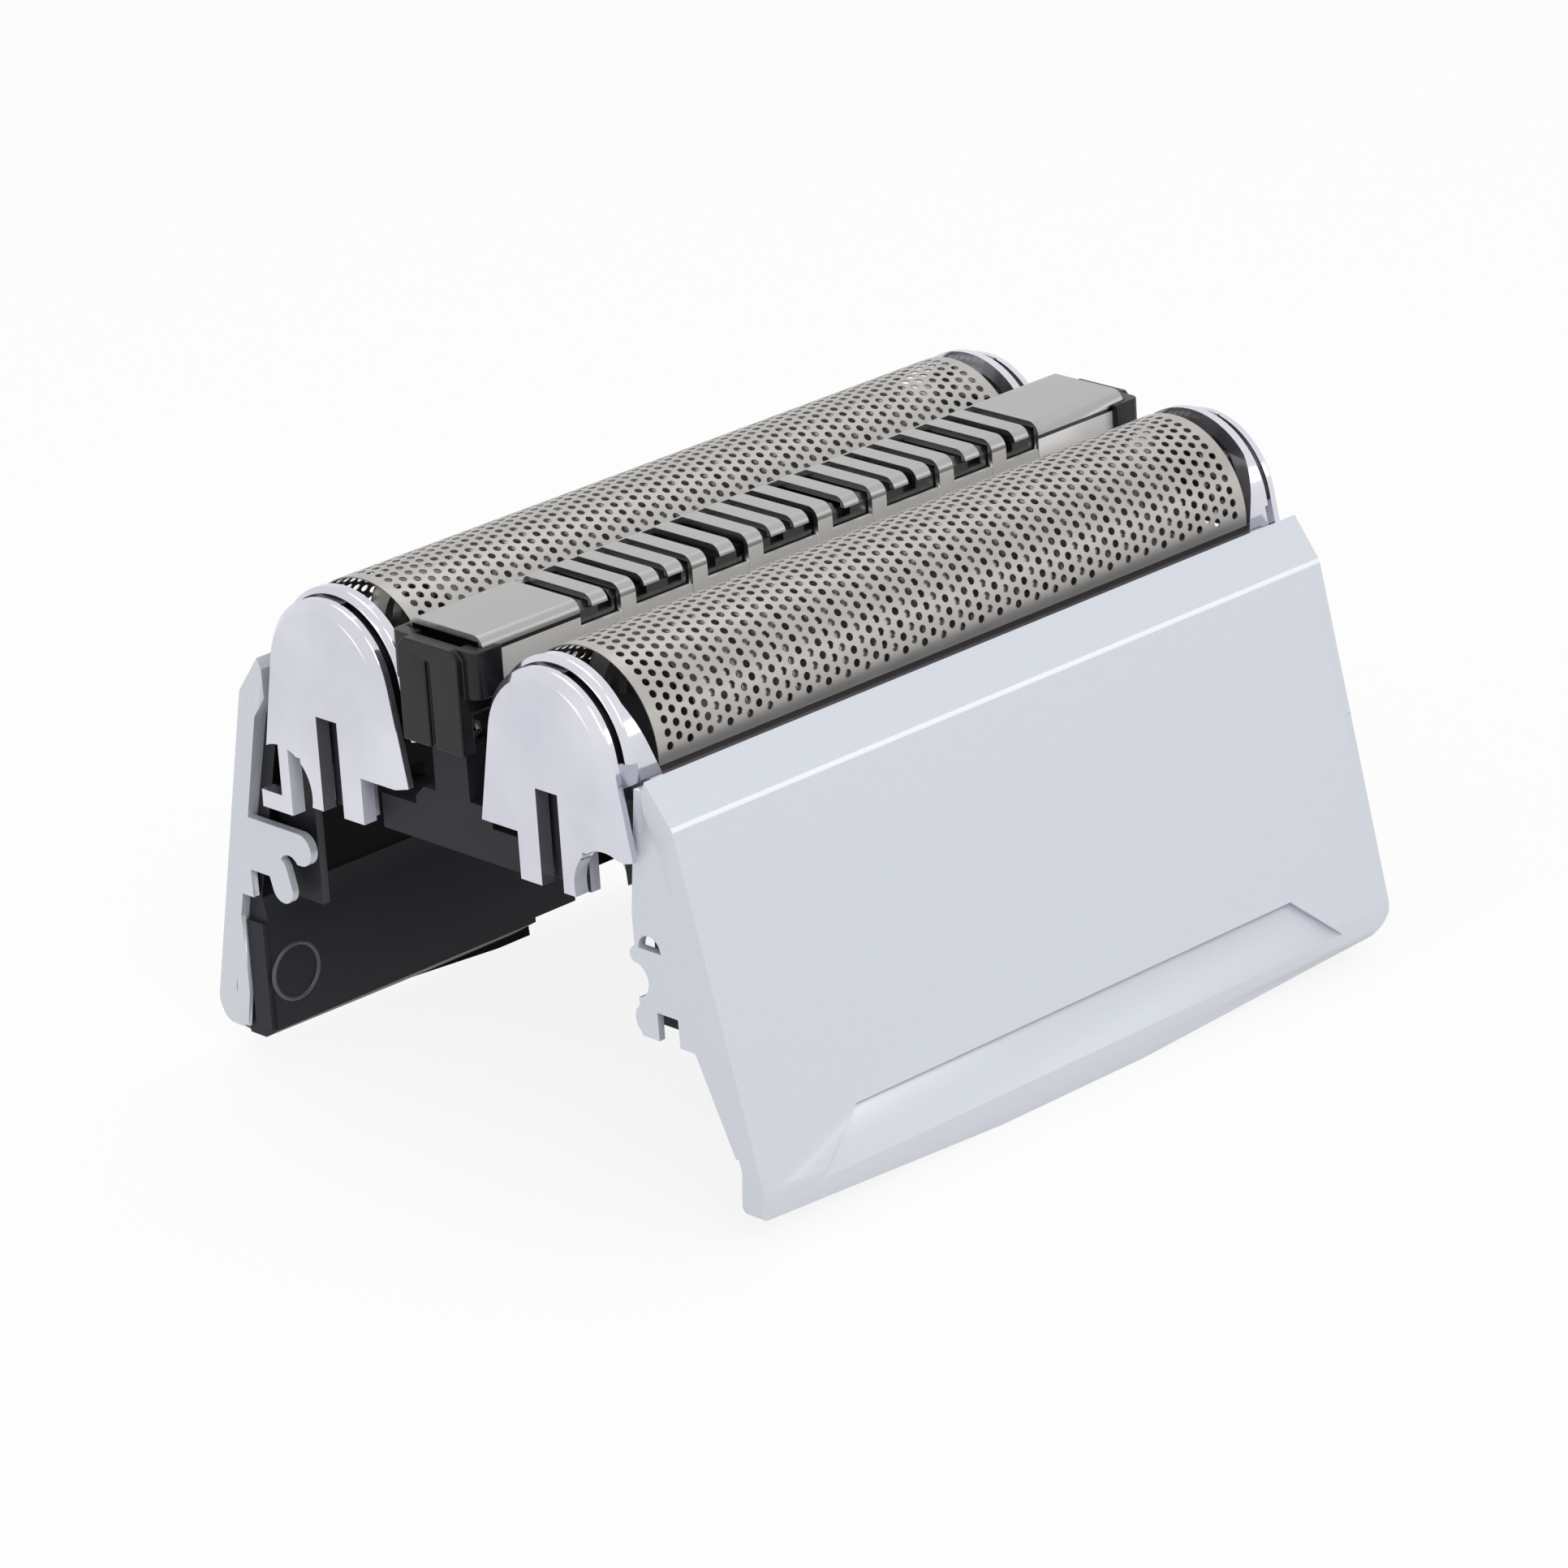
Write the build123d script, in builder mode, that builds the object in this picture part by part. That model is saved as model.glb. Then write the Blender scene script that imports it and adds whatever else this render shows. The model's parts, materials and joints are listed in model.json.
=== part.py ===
from build123d import *
import os
from math import atan2, cos, pi, radians, sin, tan

# Foil head of an electric shaver: two floating foil cartridges with a floating trimmer between them, in a
# frame clad by two silver panels. Millimetres. X runs along the foils, the front panel faces -Y, and Z is up.
# Heights are measured from the ends of the panels' bowed lower edges, and each piece is lifted at the end so
# that the middle of those edges stands at zero. The rear cartridge and the rear panel are the front ones
# turned half round about Z, and only the rear panel has a notch in its lower edge.

os.makedirs("parts", exist_ok=True)

# Clearances
slide_gap = 0.15
seat_gap = 0.05

# Travel of the floating units, and stroke of the cutters each way
cartridge_travel = 2.0
trimmer_travel = 1.8
cutter_stroke = 1.2
trimmer_stroke = 0.8

# Foil arch, about an axis that runs along X
cartridge_y = 7.74
arch_radius = 4.6
arch_z = 21.1
foil_length = 40.6
foil_thickness = 0.15
foil_side = 1.8
foil_corner_cut = 0.6
foil_rows = 5
foil_row_angle = 30.0
foil_columns = 6
foil_pitch = 6.0
foil_hole_radius = 1.0

# Chromed end caps of a cartridge
cap_reach = 3.0
cap_plate = 0.8
cap_wall = 0.8
cap_step = 0.35
cap_groove = 0.35
cap_groove_depth = 0.2
cap_flare = 11.0
cap_bottom_z = 16.9
cap_edge = 0.45
hoop_edge = 0.28
hoop_crown_reach = 1.1
hoop_side_z = 20.6
hoop_shoulder_z = 24.0
hoop_low_reach = 0.9
rebate_top_z = 21.4
leg_bottom_z = 14.5
leg_width = 1.45
slot_width = 1.5
guide_width = 0.3
guide_depth = 0.6
slot_top_z = 19.4
flank_notch_radius = 2.2
flank_notch_rise = 0.35
flank_notch_y = 3.7
hook_width = 0.7
hook_y = 3.45
hook_bottom_z = 13.7
hook_foot = 1.5
hook_foot_height = 0.9

# Side rails of a cartridge, and the two yokes that hold its cutter up
rail_width = 0.5
rail_height = 1.2
yoke_inset = 4.3
yoke_width = 1.6
yoke_height = 0.6

# Cutter block: lamellae on a plastic carrier with a drive socket
blade_count = 4
blade_thickness = 0.4
blade_pitch = 11.0
blade_foot_z = 19.5
blade_gap = 0.15
blade_rim = 1.1
blade_eave = 0.4
carrier_bottom_z = 17.1
carrier_side_gap = 0.25
carrier_core_height = 1.5
hub_radius = 2.3
hub_drop = 2.1
socket_radius = 1.5
socket_depth = 4.0

# Trimmer comb, a slotted steel channel
comb_overhang = 1.7
comb_half_width = 2.6
comb_drop = 0.2
comb_height = 2.6
comb_wall = 0.3
comb_shoulder = 0.65
comb_rail_height = 0.45
finger_lip = 0.1
comb_margin = 6.25
first_post_x = -12.62
double_bays = (True, False, True, False, True, False)
single_bay_length = 3.76
double_bay_length = 4.75
finger_width = 1.0

# Moving trimmer blade and its driver
trimmer_blade_margin = 0.25
trimmer_blade_gap = 0.08
trimmer_blade_side_gap = 0.1
trimmer_blade_height = 1.2
trimmer_blade_shoulder = 0.35
tooth_count = 13
tooth_pitch = 2.3
tooth_slot = 0.9
tooth_depth = 0.75
driver_length = 30.0
driver_tine_width = 1.0
driver_tine_gap = 2.2
driver_tine_depth = 2.4
driver_bottom_z = 19.6

# Trimmer carrier, with a head at each end that runs down the front of the frame's stem
head_depth = 0.8
head_half_width = 2.1
head_bottom_z = 19.75
head_top_drop = 0.5
head_corner = 0.5
head_groove = 0.35
head_groove_depth = 0.2
head_groove_margin = 0.9
lobe_overlap = 0.4
lobe_inner = 1.6
lobe_height = 2.4
lobe_round = 0.5
cheek_wall = 0.3
cheek_length = 1.0
beam_height = 1.2
plug_length = 3.0
plug_setback = 0.8
beam_side = 0.6

# Frame: end walls, guide posts, stems and the liners behind the panels
end_wall_inset = 0.8
end_wall_depth = 1.5
web_bottom_z = 14.2
web_top_z = 16.0
web_half_width = 5.2
web_step = 1.0
web_step_half = 2.7
web_step_corner = 0.6
web_back_half = 6.4
bridge_bottom_z = 15.9
bridge_top_z = 16.7
arm_inner_y = 11.95
arm_bottom_z = 8.0
arm_depth = 0.45
post_half_width = 1.3
post_bottom_z = 16.6
post_top_z = 18.9
tongue_half_width = 0.8
tongue_depth = 0.5
tongue_bottom_z = 14.6
stem_half_width = 1.2
stem_pocket_radius = 0.75
stem_pocket_depth = 2.4
liner_wall = 0.85
liner_foot_z = 0.55
liner_toe_z = -0.75
liner_ledge_z = 7.6
liner_ledge_height = 1.3
liner_tuck_z = 2.4
rail_inner_y = 15.5
rail_end_y = 16.9
rail_end_round = 1.2
rim_wall = 0.25
rim_top_z = 20.5
relief_length = 8.4
relief_height = 1.55
relief_core_length = 5.6
relief_core_height = 3.8

# Springs
spring_radius = 0.45
wire_side = 0.2
spring_turns = 3
spring_facets = 6
spring_seat_drop = 1.5
spring_seat_half = 1.0

# Panels
panel_overhang = 2.15
panel_top_y = 13.6
panel_top_z = 21.0
panel_lip_y = 13.35
ridge_y = 15.2
ridge_z = 18.95
skirt_y = 19.5
skirt_z = 1.35
foot_y = 18.2
foot_width = 0.55
foot_drop = 1.2
panel_wall = 1.2
ridge_round = 0.6
skirt_round = 1.2
panel_end_taper = 0.45
panel_foot_half = 5.0
panel_end_drop = 0.05
panel_corner = 0.9
grip_top_z = 3.8
grip_bottom_z = 0.6
grip_top_half = 15.3
grip_bottom_half = 19.1
grip_depth = 0.4
grip_toe_depth = 0.2
rib_bite = 0.4
rib_depth = 0.5
rib_recess = 0.15
rear_notch_x = -2.8
rear_notch_length = 7.8
rear_notch_top_z = 0.9

# Clip ribs inside the ends of a panel, each measured outward from the middle plane and up
strip_y = 11.95
strip_bend_z = 14.0
strip_top_y = 12.7
strip_top_z = 20.4
clip_bottom_z = 7.8
strip_toe_z = 3.0
strip_toe = 0.2
hole_y = 12.95
hole_z = 12.35
hole_radius = 0.75
catch_y = 12.0
catch_height = 0.85
notch_y = 11.8
notch_z = 10.65
notch_radius = 0.9
bump_y = 12.45
bump_radius = 0.85
key_y = 13.8
key_width = 1.4
key_height = 1.45
bracket_y = 11.9
bracket_z = 11.3
bracket_height = 1.7
curl_y = 12.8
curl_z = 10.1
curl_radius = 0.7
finger_y = 13.65
finger_z = 9.3
finger_length = 1.0
finger_thickness = 1.5
finger_lean = 75.0
stop_y = 15.85
heel_y = 17.0
heel_top_z = 6.5
heel_bottom_z = 0.4

# Derived places
foil_end_x = foil_length / 2
cap_face_x = foil_end_x + cap_reach
hoop_side_x = foil_end_x
hoop_crown_x = foil_end_x + hoop_crown_reach
hoop_low_x = foil_end_x + hoop_low_reach
yoke_x = foil_end_x - yoke_inset
end_wall_x = foil_end_x - end_wall_inset
comb_length = foil_length + 2 * comb_overhang
comb_slotted_length = comb_length - 2 * comb_margin
trimmer_blade_length = comb_slotted_length + 2 * trimmer_blade_margin
panel_length = foil_length + 2 * panel_overhang
end_low = panel_length / 2 - panel_end_taper
head_face_x = cap_face_x
crown_z = arch_z + arch_radius
foil_foot_z = arch_z - foil_side
foil_inner_radius = arch_radius - foil_thickness
blade_radius = foil_inner_radius - blade_gap
plate_back_x = cap_face_x - cap_plate
rail_outer = arch_radius + rail_width
rail_bottom_z = foil_foot_z
yoke_top_z = carrier_bottom_z - slide_gap
carrier_half_width = foil_inner_radius - carrier_side_gap
core_half_width = blade_radius - blade_rim
comb_top_z = crown_z - comb_drop
comb_foot_z = comb_top_z - comb_height
comb_inner_half = comb_half_width - comb_wall
trimmer_blade_top_z = comb_top_z - comb_wall - trimmer_blade_gap
trimmer_blade_half = comb_inner_half - trimmer_blade_side_gap
beam_top_z = comb_foot_z
beam_bottom_z = beam_top_z - beam_height
end_wall_outer_x = end_wall_x + end_wall_depth
hoop_low_z = bridge_top_z + cartridge_travel + 2 * slide_gap
carrier_length = 2 * (end_wall_x - cutter_stroke - 4 * slide_gap)
stem_top_z = beam_bottom_z - trimmer_travel - slide_gap
beam_window = driver_tine_gap + 2 * (driver_tine_width + trimmer_stroke + beam_side)
post_outer_x = plate_back_x - slide_gap
head_back_x = head_face_x - head_depth
head_top_z = comb_top_z - head_top_drop
stem_outer_x = post_outer_x
spring_x = (end_wall_outer_x + post_outer_x) / 2
spring_seat_z = crown_z - cap_wall - spring_seat_drop
stem_x = (end_wall_x + stem_outer_x) / 2
rib_outer_x = panel_length / 2 - rib_recess
rib_inner_x = rib_outer_x - rib_depth
liner_short_x = rib_inner_x - slide_gap
liner_long_x = end_low - 2 * seat_gap
panel_lean = atan2(skirt_y - ridge_y, ridge_z - skirt_z)


def panel_inner(z):
    """Distance from the middle plane to the inner face of a panel at height z."""
    return ridge_y + (ridge_z - z) * tan(panel_lean) - panel_wall / cos(panel_lean)


def cartridge_section(x):
    """Plane across the front cartridge at station x, with its origin below the foil's axis, facing +X."""
    return Plane((x, -cartridge_y, 0), x_dir=(0, 1, 0), z_dir=(1, 0, 0))


def panel_section(x):
    """Plane across the front panel at station x, with its first axis pointing outward, facing -X."""
    return Plane((x, 0, 0), x_dir=(0, -1, 0), z_dir=(-1, 0, 0))


def arch_outline(plane, radius, foot_z, flare):
    """Face under a half round arch, whose sides lean outward by flare degrees down to foot_z."""
    spring_y = radius * cos(radians(flare))
    spring_z = arch_z + radius * sin(radians(flare))
    foot_y_half = spring_y + (spring_z - foot_z) * tan(radians(flare))
    with BuildSketch(plane) as outline:
        with BuildLine():
            crown = ThreePointArc((-spring_y, spring_z), (0, arch_z + radius), (spring_y, spring_z))
            Polyline(crown @ 1, (foot_y_half, foot_z), (-foot_y_half, foot_z), crown @ 0)
        make_face()
    return outline.sketch


def save(builder, name):
    """Stands a finished piece on the level of the panels' lower edges and writes it under its node name."""
    piece = builder.part.moved(Location((0, 0, foot_drop)))
    piece.label = name
    export_step(piece, f"parts/{name}.step")


def turned(piece):
    """The same moulding turned half round about Z, for the other side of the head."""
    with BuildPart() as other:
        add(piece.part, rotation=(0, 0, 180))
    return other


# Foil: a thin arched sheet with plain margins, its lower corners cut back at both ends.
with BuildPart() as front_foil:
    start = cartridge_section(-foil_end_x)
    extrude(arch_outline(start, arch_radius, foil_foot_z, 0), amount=foil_length)
    extrude(
        arch_outline(start, foil_inner_radius, foil_foot_z, 0), amount=foil_length, mode=Mode.SUBTRACT
    )
    with BuildSketch(Plane.XZ):
        low_half = foil_end_x - foil_corner_cut
        with BuildLine():
            Polyline(
                (-low_half, foil_foot_z), (low_half, foil_foot_z), (low_half, arch_z),
                (foil_end_x, hoop_shoulder_z), (foil_end_x, crown_z), (-foil_end_x, crown_z),
                (-foil_end_x, hoop_shoulder_z), (-low_half, arch_z), close=True,
            )
        make_face()
    extrude(amount=cartridge_y + 2 * arch_radius, mode=Mode.INTERSECT)
    for row in range(foil_rows):
        angle = radians((row - (foil_rows - 1) / 2) * foil_row_angle)
        count = foil_columns - row % 2
        outward = Plane((0, -cartridge_y, arch_z), x_dir=(1, 0, 0), z_dir=(0, sin(angle), cos(angle)))
        with BuildSketch(outward):
            with GridLocations(foil_pitch, 0, count, 1):
                RegularPolygon(foil_hole_radius, 4, rotation=45)
        extrude(amount=2 * arch_radius, mode=Mode.SUBTRACT)

# Hoop of a cap: the arched wall behind its end plate, open inside, below and towards the foil.
with BuildPart() as hoop:
    hoop_back = cartridge_section(-plate_back_x)
    hoop_front = cartridge_section(cap_groove - plate_back_x)
    hoop_depth = plate_back_x - hoop_side_x
    extrude(arch_outline(hoop_front, arch_radius, cap_bottom_z, cap_flare), amount=hoop_depth - cap_groove)
    chamfer(faces().sort_by(Axis.X)[0].edges().sort_by(Axis.Z)[1:], hoop_edge)
    # Neck that leaves a groove between the plate and the hoop
    neck = arch_outline(hoop_back, arch_radius - cap_step - cap_groove_depth, cap_bottom_z, cap_flare)
    extrude(neck, amount=cap_groove)
    inside = arch_outline(hoop_back, arch_radius - cap_wall, cap_bottom_z, cap_flare)
    extrude(inside, amount=hoop_depth, mode=Mode.SUBTRACT)
    # The end towards the foil leans back over the crown, and the sides clear the frame's end wall below
    with BuildSketch(Plane.XZ):
        with BuildLine():
            Polyline(
                (-hoop_low_x, cap_bottom_z), (-hoop_low_x, hoop_low_z), (-hoop_side_x, hoop_low_z),
                (-hoop_side_x, hoop_side_z), (-hoop_crown_x, hoop_shoulder_z), (-hoop_crown_x, crown_z),
                (-plate_back_x, crown_z), (-plate_back_x, cap_bottom_z), close=True,
            )
        make_face()
    extrude(amount=cartridge_y + 2 * arch_radius, mode=Mode.INTERSECT)
    # Both sides stop above the frame's web and the panel's end rib
    with BuildSketch(hoop_back):
        with Locations((0, cap_bottom_z)):
            Rectangle(4 * arch_radius, hoop_low_z - cap_bottom_z, align=(Align.CENTER, Align.MIN))
    extrude(amount=hoop_depth, mode=Mode.SUBTRACT)
    # The outer side is let in beside the plate, clear of the panel's end rib
    with BuildSketch(hoop_back):
        with Locations((cartridge_y - strip_y + slide_gap, hoop_low_z)):
            Rectangle(2 * arch_radius, rebate_top_z - hoop_low_z, align=(Align.MAX, Align.MIN))
    extrude(amount=plate_back_x - liner_short_x, mode=Mode.SUBTRACT)

# Foil frame: two chromed end caps with legs, joined by side rails and two yokes under the cutter.
with BuildPart() as front_foil_frame:
    # End plate of the -X cap, with a broad rounded edge
    cap_face = cartridge_section(-cap_face_x)
    cap_back = cartridge_section(-plate_back_x)
    extrude(arch_outline(cap_face, arch_radius - cap_step, cap_bottom_z, cap_flare), amount=cap_plate)
    chamfer(faces().sort_by(Axis.X)[0].edges().sort_by(Axis.Z)[1:], cap_edge)
    add(hoop.part)
    # Two legs, each with a guide behind it that runs along the frame's post
    leg_height = slot_top_z - leg_bottom_z
    with BuildSketch(cap_face):
        with Locations((0, leg_bottom_z)):
            Rectangle(slot_width + 2 * leg_width, leg_height, align=(Align.CENTER, Align.MIN))
    extrude(amount=cap_plate)
    with BuildSketch(cap_face):
        with Locations((0, leg_bottom_z)):
            Rectangle(slot_width, leg_height, align=(Align.CENTER, Align.MIN))
    extrude(amount=cap_plate, mode=Mode.SUBTRACT)
    guide_inner = post_half_width + slide_gap
    with BuildSketch(cap_back):
        for side in (-1, 1):
            with Locations((side * (guide_inner + guide_width / 2), leg_bottom_z)):
                Rectangle(guide_width, leg_height, align=(Align.CENTER, Align.MIN))
    extrude(amount=guide_depth)
    # Seat for the spring, under the crown
    with BuildSketch(cap_back):
        with Locations((0, spring_seat_z)):
            Rectangle(2 * spring_seat_half, crown_z - cap_wall / 2 - spring_seat_z,
                      align=(Align.CENTER, Align.MIN))
    extrude(amount=plate_back_x - hoop_crown_x)
    # Shallow arch in the lower edge of the outer flank
    with BuildSketch(cap_face):
        with Locations((-flank_notch_y, cap_bottom_z + flank_notch_rise - flank_notch_radius)):
            Circle(flank_notch_radius)
    extrude(amount=cap_plate, mode=Mode.SUBTRACT)
    mirror(about=Plane.YZ)
    # Side rails
    rail_length = 2 * (hoop_side_x + cap_wall)
    with BuildSketch(cartridge_section(-rail_length / 2)):
        for side in (-1, 1):
            with Locations((side * (arch_radius + rail_width / 2), rail_bottom_z)):
                Rectangle(rail_width, rail_height, align=(Align.CENTER, Align.MIN))
    extrude(amount=rail_length)
    # Yokes that hold the cutter up
    for x in (-yoke_x, yoke_x):
        with BuildSketch(cartridge_section(x - yoke_width / 2)):
            with Locations((0, yoke_top_z - yoke_height)):
                Rectangle(2 * rail_outer, rail_bottom_z + seat_gap - yoke_top_z + yoke_height,
                          align=(Align.CENTER, Align.MIN))
            with Locations((0, yoke_top_z)):
                Rectangle(2 * arch_radius, rail_bottom_z, align=(Align.CENTER, Align.MIN), mode=Mode.SUBTRACT)
        extrude(amount=yoke_width)
    # Hook that stops the +X end from rising out of the frame
    with BuildSketch(cartridge_section(plate_back_x)):
        with Locations((-hook_y, hook_bottom_z)):
            Rectangle(hook_width, cap_bottom_z + hook_width - hook_bottom_z, align=(Align.CENTER, Align.MIN))
        with Locations((-hook_y + hook_width / 2, hook_bottom_z)):
            Rectangle(hook_width + hook_foot, hook_foot_height, align=(Align.MAX, Align.MIN))
    extrude(amount=cap_plate)

# Blade carrier: a moulded bar under the lamellae, with a round socket for the shaver's drive pin.
with BuildPart() as front_blade_carrier:
    flange_height = blade_foot_z - carrier_bottom_z
    with BuildSketch(cartridge_section(-carrier_length / 2)):
        with Locations((0, carrier_bottom_z)):
            Rectangle(2 * carrier_half_width, flange_height, align=(Align.CENTER, Align.MIN))
        with Locations((0, blade_foot_z)):
            Rectangle(2 * core_half_width, carrier_core_height, align=(Align.CENTER, Align.MIN))
    extrude(amount=carrier_length)
    with BuildSketch(Plane((0, -cartridge_y, carrier_bottom_z - hub_drop))):
        Circle(hub_radius)
    extrude(amount=hub_drop + seat_gap)
    with BuildSketch(Plane((0, -cartridge_y, carrier_bottom_z - hub_drop))):
        Circle(socket_radius)
    extrude(amount=socket_depth, mode=Mode.SUBTRACT)

# Blades: a row of arched lamellae that stand on the carrier and hug its core.
with BuildPart() as front_blades:
    first_blade_x = -(blade_count - 1) / 2 * blade_pitch - blade_thickness / 2
    stations = [cartridge_section(first_blade_x + i * blade_pitch) for i in range(blade_count)]
    for station in stations:
        extrude(arch_outline(station, blade_radius, blade_foot_z, 0), amount=blade_thickness)
    with BuildSketch(cartridge_section(-carrier_length / 2)):
        eave_z = arch_z + core_half_width * blade_eave
        with BuildLine():
            Polyline(
                (-core_half_width, blade_foot_z), (-core_half_width, eave_z),
                (-core_half_width * blade_eave, arch_z + core_half_width),
                (core_half_width * blade_eave, arch_z + core_half_width),
                (core_half_width, eave_z), (core_half_width, blade_foot_z), close=True,
            )
        make_face()
    extrude(amount=carrier_length, mode=Mode.SUBTRACT)


def channel(length, half_width, top_z, height, shoulder, ease):
    """Inverted U-channel of comb sheet along X, with its outer shoulders eased by the given operation."""
    with BuildPart() as bar:
        with BuildSketch(Plane.YZ.offset(-length / 2)):
            with Locations((0, top_z - height)):
                Rectangle(2 * half_width, height, align=(Align.CENTER, Align.MIN))
            ease(vertices().group_by(Axis.Y)[-1], shoulder)
            with Locations((0, top_z - height)):
                Rectangle(2 * (half_width - comb_wall), height - comb_wall,
                          align=(Align.CENTER, Align.MIN), mode=Mode.SUBTRACT)
        extrude(amount=length)
    return bar.part


# Trimmer comb: posts run over the front shoulder to a thin lower rail, with short free fingers between them.
comb_end = comb_slotted_length / 2
post_x = [first_post_x]
for double in double_bays:
    post_x.append(post_x[-1] + (double_bay_length if double else single_bay_length))
bay_edges = [-comb_end] + [x for post in post_x for x in (post - finger_width / 2, post + finger_width / 2)]
bay_edges.append(comb_end)
bays = list(zip(bay_edges[0::2], bay_edges[1::2], (False,) + double_bays + (False,)))
with BuildPart() as trimmer_comb:
    add(channel(comb_length, comb_half_width, comb_top_z, comb_height, comb_shoulder, fillet))
    with BuildSketch(Plane.XZ.offset(comb_half_width - comb_shoulder)):
        window_z = comb_foot_z + comb_rail_height
        window_top_z = comb_top_z - comb_shoulder + finger_lip
        for start, end, double in bays:
            with Locations((start, window_z)):
                Rectangle(end - start, window_top_z - window_z, align=(Align.MIN, Align.MIN))
    extrude(amount=2 * comb_shoulder, mode=Mode.SUBTRACT)
    with BuildSketch(Plane.XY.offset(comb_top_z)):
        for start, end, double in bays:
            fingers = 2 if double else 1
            slot = (end - start - fingers * finger_width) / (fingers + 1)
            for i in range(fingers + 1):
                with Locations((start + i * (slot + finger_width), comb_half_width - comb_shoulder)):
                    Rectangle(slot, 2 * comb_half_width, align=(Align.MIN, Align.MAX))
    extrude(amount=-comb_shoulder, mode=Mode.SUBTRACT)

# Trimmer blade: a thinner channel with even teeth that slides inside the comb.
with BuildPart() as trimmer_blade:
    add(channel(trimmer_blade_length, trimmer_blade_half, trimmer_blade_top_z, trimmer_blade_height,
                trimmer_blade_shoulder, chamfer))
    with BuildSketch(Plane.XY.offset(trimmer_blade_top_z)):
        with GridLocations(tooth_pitch, 0, tooth_count, 1):
            Rectangle(tooth_slot, 2 * comb_half_width)
    extrude(amount=-tooth_depth, mode=Mode.SUBTRACT)

# Trimmer driver: fills the blade from below and takes the drive pin in a fork.
with BuildPart() as trimmer_driver:
    driver_half = trimmer_blade_half - comb_wall - seat_gap
    driver_top_z = trimmer_blade_top_z - comb_wall - seat_gap
    with BuildSketch(Plane.XY.offset(beam_top_z + slide_gap)):
        Rectangle(driver_length, 2 * driver_half)
    extrude(amount=driver_top_z - beam_top_z - slide_gap)
    with BuildSketch(Plane.XY.offset(driver_bottom_z)):
        for side in (-1, 1):
            with Locations((side * (driver_tine_gap + driver_tine_width) / 2, 0)):
                Rectangle(driver_tine_width, driver_tine_depth)
    extrude(amount=beam_top_z + 2 * slide_gap - driver_bottom_z)

# Trimmer carrier: a beam under the comb, with plugs inside the comb's ends and a guided head at each end.
with BuildPart() as trimmer_carrier:
    with BuildSketch(Plane.XY.offset(beam_bottom_z)):
        Rectangle(2 * head_back_x, 2 * head_half_width)
        Rectangle(beam_window, 2 * (head_half_width - beam_side), mode=Mode.SUBTRACT)
    extrude(amount=beam_height)
    # Plug inside the comb's end, set back so that the end stays open
    plug_half = comb_inner_half - seat_gap
    comb_end_x = comb_length / 2
    with BuildSketch(Plane.YZ.offset(plug_setback - comb_end_x)):
        with Locations((0, beam_bottom_z)):
            Rectangle(2 * plug_half, comb_top_z - comb_shoulder - beam_bottom_z,
                      align=(Align.CENTER, Align.MIN))
    extrude(amount=plug_length)
    # Head, a grooved block that stands clear of the comb's end and reaches down in front of the stem
    with BuildSketch(Plane.YZ.offset(-head_face_x)):
        with Locations((0, head_bottom_z)):
            Rectangle(2 * head_half_width, head_top_z - head_bottom_z, align=(Align.CENTER, Align.MIN))
        chamfer(vertices().group_by(Axis.Y)[-1], head_corner)
    extrude(amount=head_depth)
    with BuildSketch(Plane.YZ.offset(-head_face_x)):
        with Locations((0, head_bottom_z)):
            Rectangle(head_groove, head_top_z - head_groove_margin - head_bottom_z,
                      align=(Align.CENTER, Align.MIN))
    extrude(amount=head_groove_depth, mode=Mode.SUBTRACT)
    # Lobes at the head's sides, with cheeks that hold the comb's end
    lobe_half = comb_half_width + seat_gap + cheek_wall
    with BuildSketch(Plane.XY.offset(head_top_z - lobe_height)):
        for side in (-1, 1):
            with Locations((-(head_back_x + lobe_overlap + comb_end_x + seat_gap) / 2, side * lobe_half)):
                Rectangle(head_back_x + lobe_overlap - comb_end_x - seat_gap, lobe_half - lobe_inner,
                          align=(Align.CENTER, Align.MIN if side < 0 else Align.MAX))
        corners = vertices().group_by(Axis.X)[0].sort_by(Axis.Y)
        fillet([corners[0], corners[-1]], lobe_round)
        for side in (-1, 1):
            with Locations((-comb_end_x - 2 * seat_gap, side * (lobe_half - cheek_wall / 2))):
                Rectangle(cheek_length, cheek_wall, align=(Align.MIN, Align.CENTER))
    extrude(amount=lobe_height)
    mirror(about=Plane.YZ)


def liner_outer(z):
    """Distance from the middle plane to the outer face of a liner, just inside the panel."""
    return panel_inner(z) - seat_gap


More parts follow.
